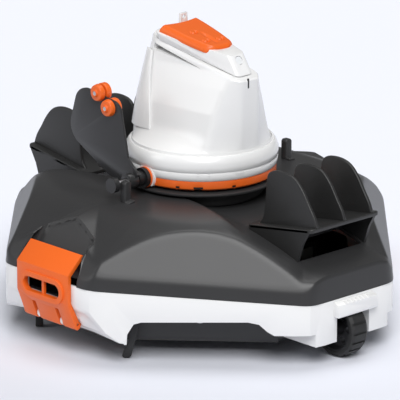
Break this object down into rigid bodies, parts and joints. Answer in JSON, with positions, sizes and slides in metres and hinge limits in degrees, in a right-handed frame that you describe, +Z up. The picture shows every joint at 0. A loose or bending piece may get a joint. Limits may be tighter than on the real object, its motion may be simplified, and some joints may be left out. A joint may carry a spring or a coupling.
{
  "type": "cordless pool cleaner",
  "caption": "Jet-driven pool floor cleaner with a wheeled eight-sided hull, a turning pump turret with a swinging paddle, finned top decks and side latches.",
  "frame": {"origin": "on the floor under the middle of the hull, between the two end wheels", "axes": "+X is the driving direction towards the front wheel, +Z is up, +Y is the left side with the left latch"},
  "size_m": [0.436, 0.402, 0.2833],
  "materials": {
    "hull_white": "glossy moulded plastic",
    "cover_dark": "satin moulded plastic",
    "under_dark": "matt moulded plastic",
    "bearing_black": "matt moulded plastic",
    "accent_orange": "glossy moulded plastic",
    "smoke_plastic": "tinted see-through plastic",
    "rubber": "matt moulded rubber",
    "tyre": "matt rubber tread",
    "mesh": "fine woven filter mesh",
    "lens": "clear lens",
    "steel": "stainless steel",
    "cell_wrap": "shrink wrap",
    "board": "lacquered circuit board"
  },
  "bodies": {
    "hull": {"base_hull": "hull_white", "bottom_plate": "under_dark", "bottom_screws": "steel", "intake_flap_pin": "steel", "floor_squeegees": "rubber", "corner_glides": "rubber", "filter_frame": "smoke_plastic", "filter_mesh": "mesh", "hull_seal": "rubber", "latch_pin_left": "steel", "latch_pin_right": "steel", "front_hood": "hull_white", "rear_hood": "hull_white", "front_axle": "steel", "rear_axle": "steel"},
    "cover": {"top_cover": "cover_dark", "turret_bearing": "bearing_black", "front_fin_deck": "cover_dark", "rear_fin_deck": "cover_dark", "deck_screws": "steel", "stop_posts": "cover_dark"},
    "turret": {"turret_ring": "accent_orange", "turret_skirt": "hull_white", "turret_shell": "hull_white", "side_panel": "hull_white", "crown_cover": "hull_white", "top_cap": "accent_orange", "lanyard_tab": "hull_white", "indicator_lens": "lens", "jet_nozzle": "under_dark", "motor": "steel", "motor_seal": "rubber", "battery_pack": "cell_wrap", "battery_bracket": "bearing_black", "control_board": "board", "spindle_clip": "steel", "paddle_bearing": "bearing_black", "paddle_seal": "accent_orange"},
    "paddle_arm": {"paddle": "smoke_plastic", "paddle_floats": "accent_orange", "float_screws": "steel", "paddle_pin": "steel", "pin_cap": "smoke_plastic"},
    "pump_wheel": {"impeller": "bearing_black", "impeller_shaft": "steel"},
    "latch_l": {"latch_left": "accent_orange"},
    "latch_r": {"latch_right": "accent_orange"},
    "wheel_f": {"front_wheel": "bearing_black", "front_tyre": "tyre"},
    "wheel_r": {"rear_wheel": "bearing_black", "rear_tyre": "tyre"},
    "flap": {"intake_flap": "accent_orange"}
  },
  "joints": [
    {"name": "cover_lift", "type": "slide", "parent": "hull", "child": "cover", "axis": [0, 0, 1], "range_m": [0, 0.12]},
    {"name": "turret_spin", "type": "hinge", "parent": "cover", "child": "turret", "pos_m": [0.004, 0, 0.14], "axis": [0, 0, 1], "range_deg": [-180, 0]},
    {"name": "paddle_swing", "type": "hinge", "parent": "turret", "child": "paddle_arm", "pos_m": [0.004, -0.09, 0.146], "axis": [0, 1, 0], "range_deg": [-12, 45]},
    {"name": "pump_spin", "type": "hinge", "parent": "turret", "child": "pump_wheel", "pos_m": [0.004, 0, 0.138], "axis": [0, 0, 1], "continuous": true},
    {"name": "latch_left_open", "type": "hinge", "parent": "hull", "child": "latch_l", "pos_m": [0, 0.1865, 0.033], "axis": [-1, 0, 0], "range_deg": [0, 60]},
    {"name": "latch_right_open", "type": "hinge", "parent": "hull", "child": "latch_r", "pos_m": [0, -0.1865, 0.033], "axis": [1, 0, 0], "range_deg": [0, 60]},
    {"name": "front_wheel_roll", "type": "hinge", "parent": "hull", "child": "wheel_f", "pos_m": [0.191, 0, 0.027], "axis": [0, 1, 0], "continuous": true},
    {"name": "rear_wheel_roll", "type": "hinge", "parent": "hull", "child": "wheel_r", "pos_m": [-0.191, 0, 0.027], "axis": [0, 1, 0], "continuous": true},
    {"name": "intake_flap_swing", "type": "hinge", "parent": "hull", "child": "flap", "pos_m": [-0.014, 0, 0.0204], "axis": [0, -1, 0], "range_deg": [0, 40]}
  ]
}
